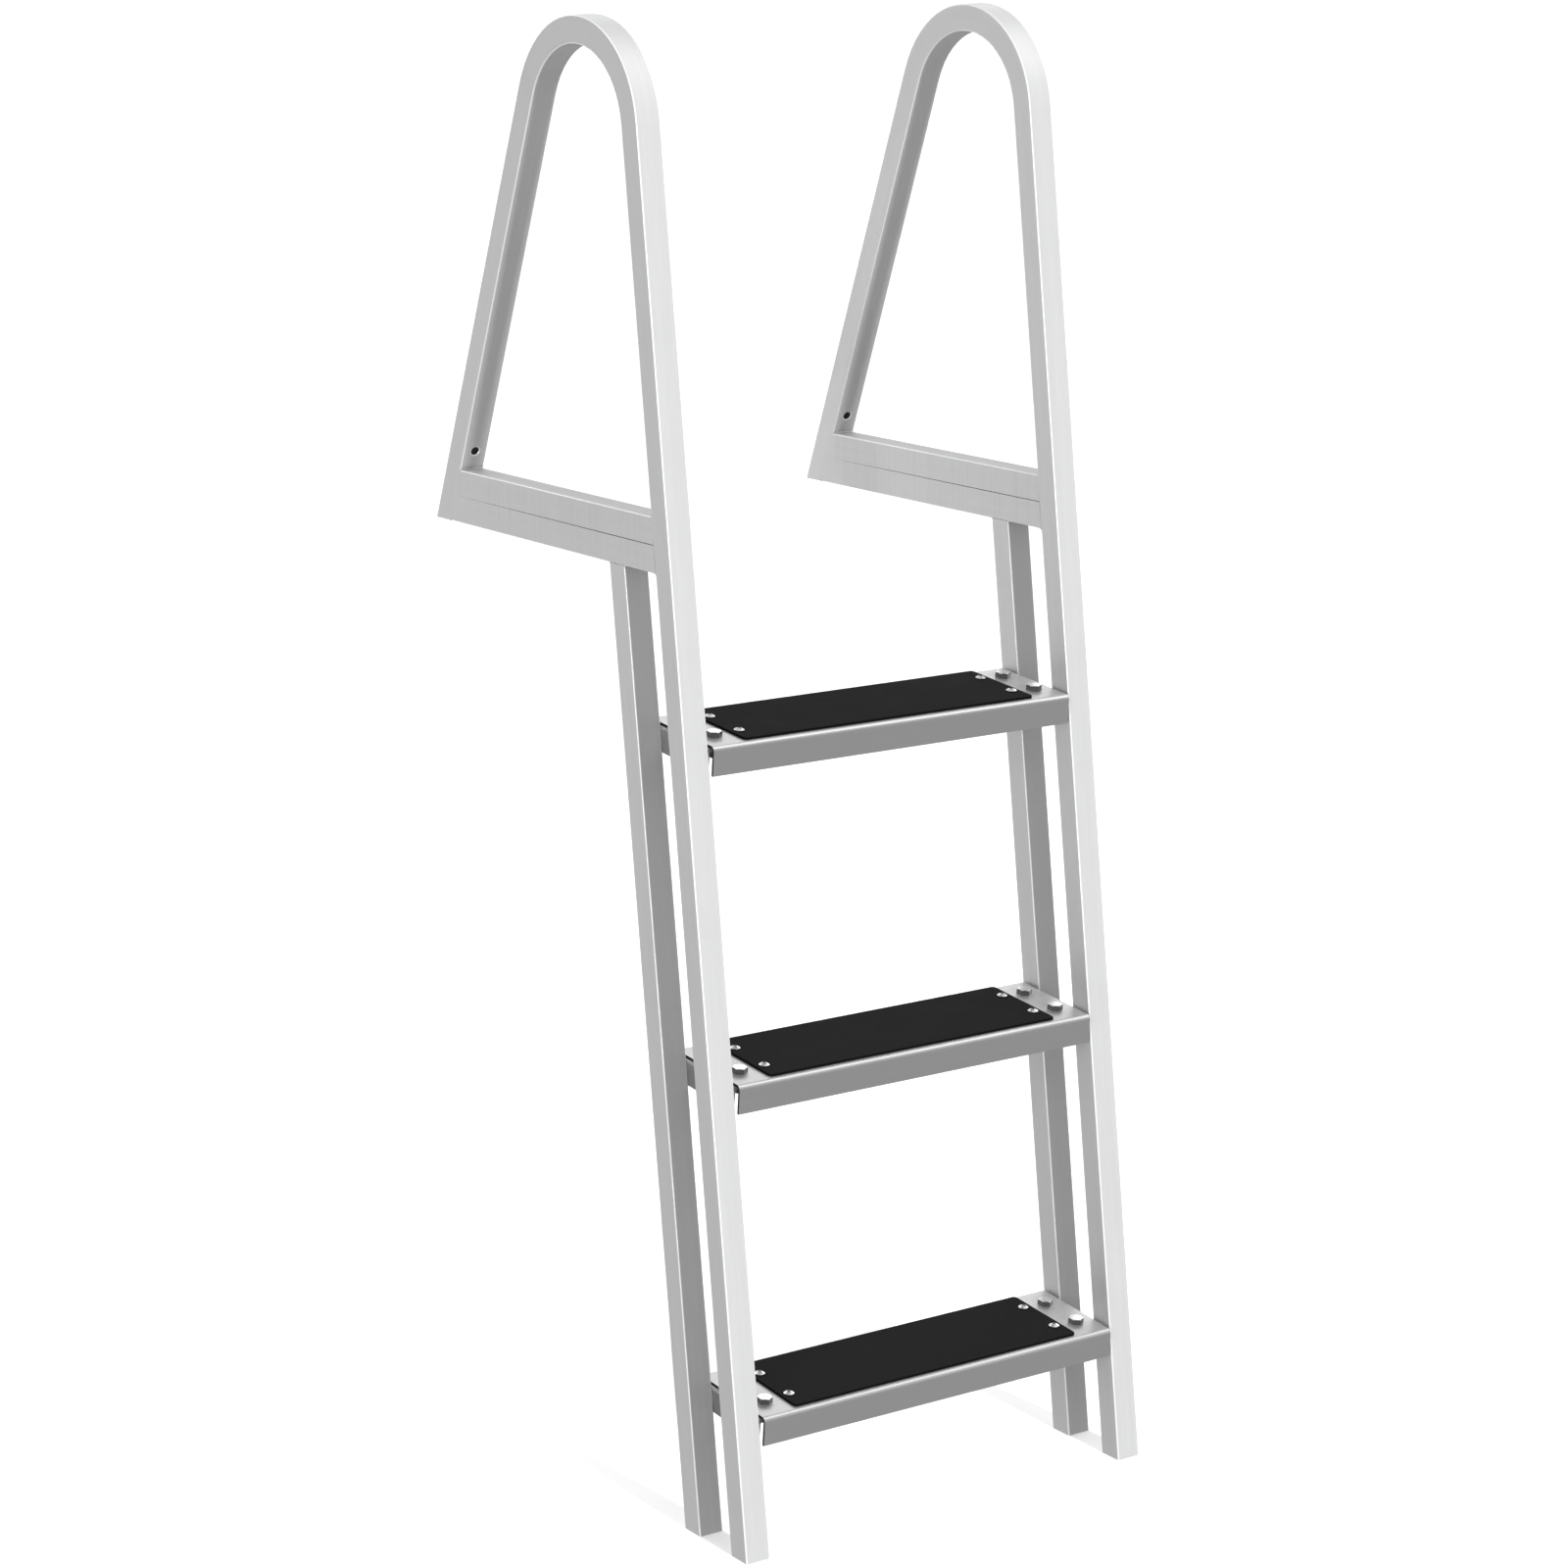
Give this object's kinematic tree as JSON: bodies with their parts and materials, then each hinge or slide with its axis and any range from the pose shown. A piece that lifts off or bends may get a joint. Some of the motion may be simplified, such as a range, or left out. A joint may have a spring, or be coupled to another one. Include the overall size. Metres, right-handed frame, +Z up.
{
  "type": "boat boarding ladder",
  "caption": "Rigid dock ladder for boarding a boat: two hairpin handrail frames of square aluminium tube with level dock brackets, joined by matted folded steps.",
  "frame": {"origin": "middle of the ladder's box at the level of its feet", "axes": "+Z up; +X along the steps, to the right for a climber who faces the dock; +Y back over the dock, the way the climber faces"},
  "size_m": [0.46, 0.53, 1.3776],
  "materials": {
    "aluminium_tube": "satin mill finish, lightly brushed along the tube, clear anodised",
    "aluminium_sheet": "satin, folded sheet",
    "rubber_mat": "dark charcoal, matt, fine grain",
    "stainless": "bright stainless, lightly turned"
  },
  "bodies": {
    "root": {"handrail_left": "aluminium_tube", "rear_leg_left": "aluminium_tube", "lower_bar_left": "aluminium_tube", "upper_bar_left": "aluminium_tube", "handrail_right": "aluminium_tube", "rear_leg_right": "aluminium_tube", "lower_bar_right": "aluminium_tube", "upper_bar_right": "aluminium_tube", "step_lower": "aluminium_sheet", "mat_lower": "rubber_mat", "bracket_lower_left": "aluminium_sheet", "bracket_lower_right": "aluminium_sheet", "step_bolts_lower": "stainless", "step_washers_lower": "stainless", "step_nuts_lower": "stainless", "mat_screws_lower": "stainless", "mat_nuts_lower": "stainless", "step_middle": "aluminium_sheet", "mat_middle": "rubber_mat", "bracket_middle_left": "aluminium_sheet", "bracket_middle_right": "aluminium_sheet", "step_bolts_middle": "stainless", "step_washers_middle": "stainless", "step_nuts_middle": "stainless", "mat_screws_middle": "stainless", "mat_nuts_middle": "stainless", "step_upper": "aluminium_sheet", "mat_upper": "rubber_mat", "bracket_upper_left": "aluminium_sheet", "bracket_upper_right": "aluminium_sheet", "step_bolts_upper": "stainless", "step_washers_upper": "stainless", "step_nuts_upper": "stainless", "mat_screws_upper": "stainless", "mat_nuts_upper": "stainless"}
  },
  "joints": []
}
